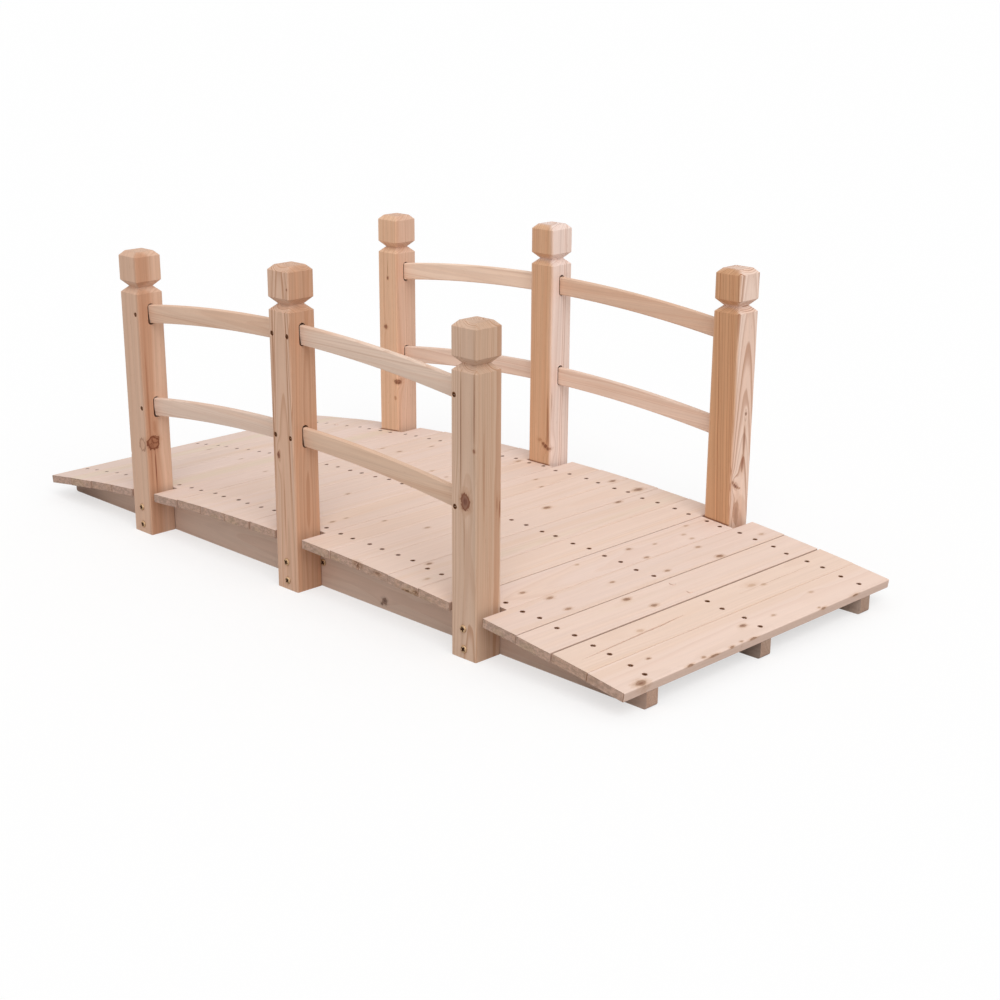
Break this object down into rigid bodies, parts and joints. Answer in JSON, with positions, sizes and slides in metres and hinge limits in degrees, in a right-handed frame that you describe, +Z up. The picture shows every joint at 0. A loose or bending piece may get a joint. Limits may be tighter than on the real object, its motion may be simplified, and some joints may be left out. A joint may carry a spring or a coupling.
{
  "type": "small arched timber garden bridge",
  "caption": "Low arched garden bridge in unfinished softwood: planked deck on arch-cut stringers, square posts with necked caps and two bowed rails a side.",
  "frame": {"origin": "ground level, at the middle of the bridge's length and width", "axes": "+X along the bridge, towards its right end as seen from the front side, +Y across it from the front railing to the back railing, +Z up"},
  "size_m": [1.4986, 0.6731, 0.5525],
  "materials": {
    "deck_wood": "planed softwood, unfinished, matte",
    "stringer_wood": "planed softwood, unfinished, matte",
    "post_wood": "planed softwood, unfinished, matte",
    "rail_wood": "planed softwood, unfinished, matte",
    "screw_steel": "zinc and brown phosphate screw heads"
  },
  "bodies": {
    "root": {"front_stringer": "stringer_wood", "middle_stringer": "stringer_wood", "back_stringer": "stringer_wood", "deck_board_01": "deck_wood", "deck_board_02": "deck_wood", "deck_board_03": "deck_wood", "deck_board_04": "deck_wood", "deck_board_05": "deck_wood", "deck_board_06": "deck_wood", "deck_board_07": "deck_wood", "deck_board_08": "deck_wood", "deck_board_09": "deck_wood", "deck_board_10": "deck_wood", "deck_board_11": "deck_wood", "deck_board_12": "deck_wood", "deck_board_13": "deck_wood", "deck_board_14": "deck_wood", "deck_board_15": "deck_wood", "deck_board_16": "deck_wood", "deck_board_17": "deck_wood", "deck_board_18": "deck_wood", "deck_board_19": "deck_wood", "deck_board_20": "deck_wood", "deck_board_21": "deck_wood", "front_left_post": "post_wood", "front_middle_post": "post_wood", "front_right_post": "post_wood", "back_left_post": "post_wood", "back_middle_post": "post_wood", "back_right_post": "post_wood", "front_left_lower_rail": "rail_wood", "front_left_upper_rail": "rail_wood", "front_right_lower_rail": "rail_wood", "front_right_upper_rail": "rail_wood", "back_left_lower_rail": "rail_wood", "back_left_upper_rail": "rail_wood", "back_right_lower_rail": "rail_wood", "back_right_upper_rail": "rail_wood"}
  },
  "joints": []
}
